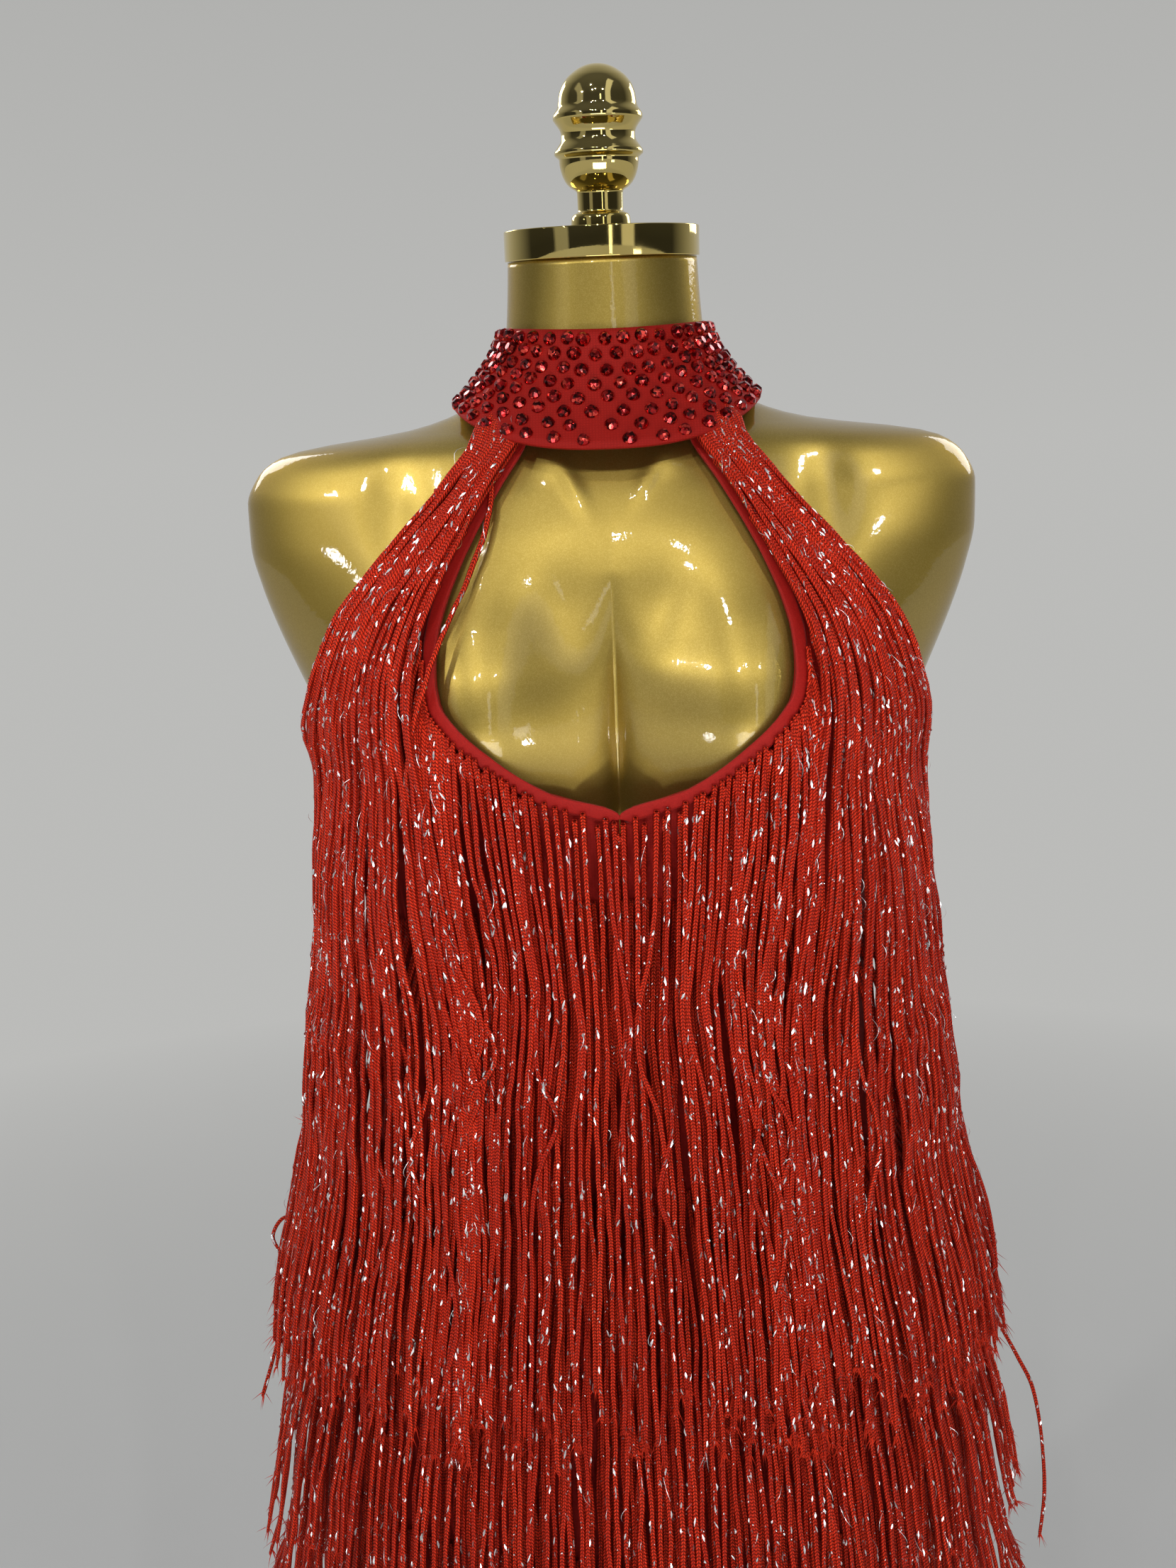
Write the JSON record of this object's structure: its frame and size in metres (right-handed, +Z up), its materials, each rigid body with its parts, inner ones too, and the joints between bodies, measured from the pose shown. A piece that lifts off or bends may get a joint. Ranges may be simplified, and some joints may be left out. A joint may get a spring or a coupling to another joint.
{
  "type": "fringe dress on a dress form",
  "caption": "Halter dress of stretch cloth with a keyhole front and rows of long cord fringe, on an armless dress form with a finial, pole and round base.",
  "frame": {"origin": "centre of the round base's underside, on the floor under the pole", "axes": "+Z up along the pole; the dress faces -Y; +X is the viewer's right"},
  "size_m": [0.4774, 0.4, 1.5477],
  "materials": {
    "cloth": "matte stretch knit, red",
    "fringe": "crocheted chain cord, orange red with silver flecks",
    "form_paint": "satin gold paint with fine flake",
    "polished_gold": "mirror polish",
    "steel": "brushed"
  },
  "bodies": {
    "root": {"collar": "cloth", "collar_tab": "cloth", "collar_button_1": "cloth", "collar_button_2": "cloth", "front_left": "cloth", "front_right": "cloth", "back": "cloth", "keyhole_binding_left": "cloth", "keyhole_binding_right": "cloth", "armhole_binding_left": "cloth", "armhole_binding_right": "cloth", "back_binding": "cloth", "fringe_strap_left": "fringe", "fringe_strap_right": "fringe", "fringe_keyhole": "fringe", "fringe_back": "fringe", "fringe_bust": "fringe", "fringe_waist": "fringe", "fringe_hip": "fringe", "fringe_hem": "fringe", "form_torso": "form_paint", "form_flange": "steel", "neck_disc": "polished_gold", "finial": "polished_gold", "stand_pole": "polished_gold", "stand_base": "form_paint"}
  },
  "joints": []
}
